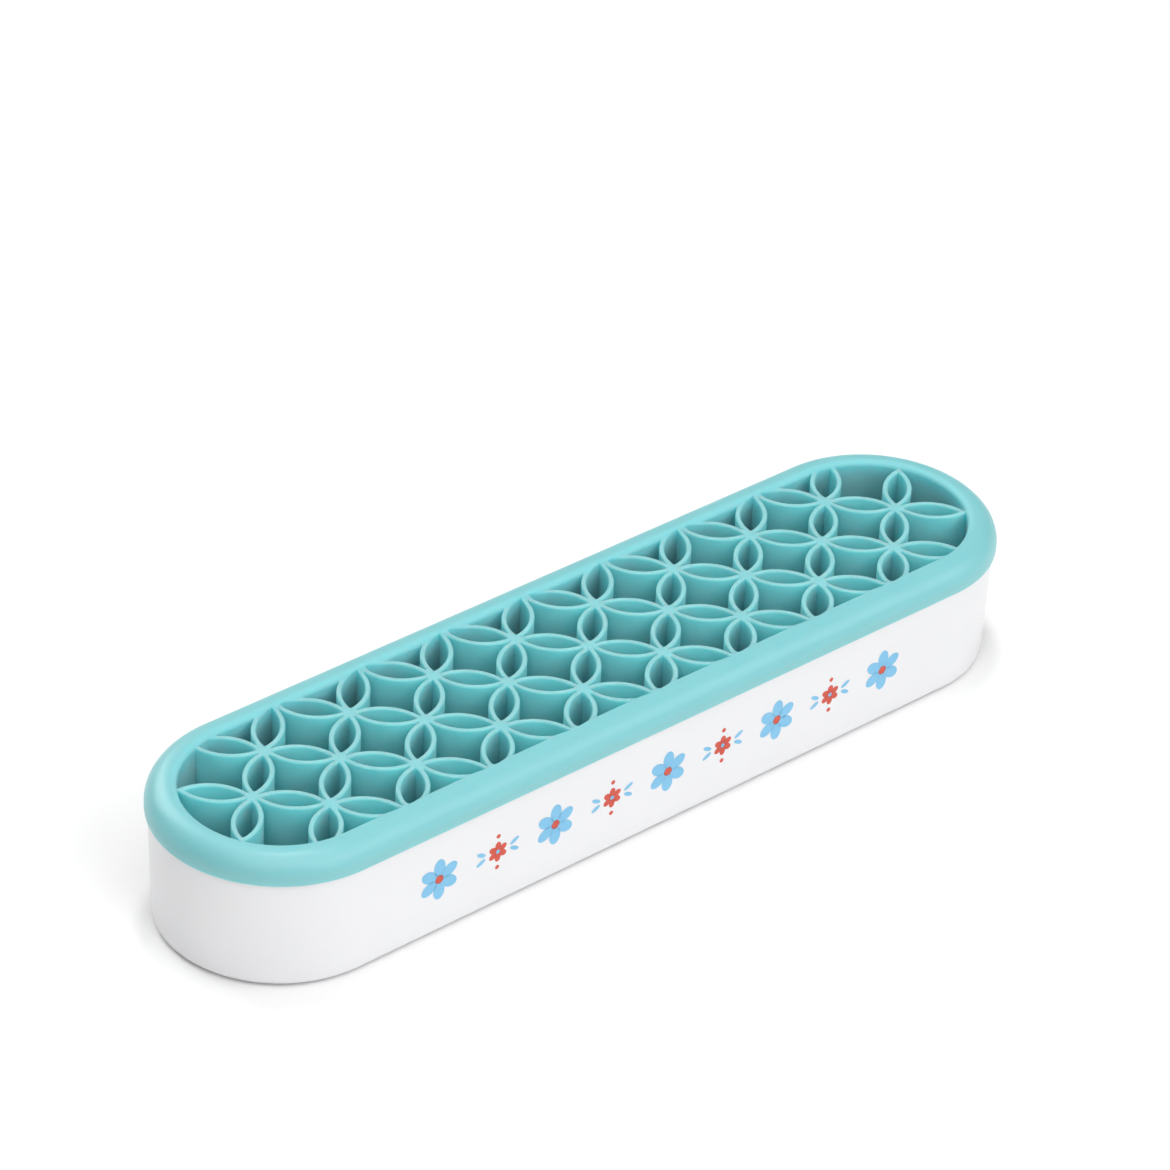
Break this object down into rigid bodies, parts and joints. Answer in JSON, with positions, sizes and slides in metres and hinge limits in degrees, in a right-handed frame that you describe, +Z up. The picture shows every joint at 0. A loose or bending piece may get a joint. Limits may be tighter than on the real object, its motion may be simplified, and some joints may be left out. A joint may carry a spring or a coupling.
{
  "type": "needle and tool case",
  "caption": "Pill-shaped open tub with a lift-out soft lattice insert whose petal and star cells stand needles, hooks and pens upright.",
  "frame": {"origin": "centre of the footprint on the surface the case stands on", "axes": "+X along the case, +Y from its printed front to its back, +Z up out of the cells"},
  "size_m": [0.3276, 0.0832, 0.049],
  "materials": {
    "tub_plastic": "smooth white moulded plastic with a soft gloss",
    "silicone": "satin turquoise silicone",
    "pad_rubber": "matte grey rubber"
  },
  "bodies": {
    "base": {"base_tub": "tub_plastic", "foot_pads": "pad_rubber"},
    "insert": {"insert_rim": "silicone", "insert_skirt": "silicone", "lattice_row_1": "silicone", "lattice_row_2": "silicone", "lattice_row_3": "silicone", "lattice_row_4": "silicone"}
  },
  "joints": [
    {"name": "insert_lift", "type": "slide", "parent": "base", "child": "insert", "axis": [0, 0, 1], "range_m": [0, 0.045]}
  ]
}
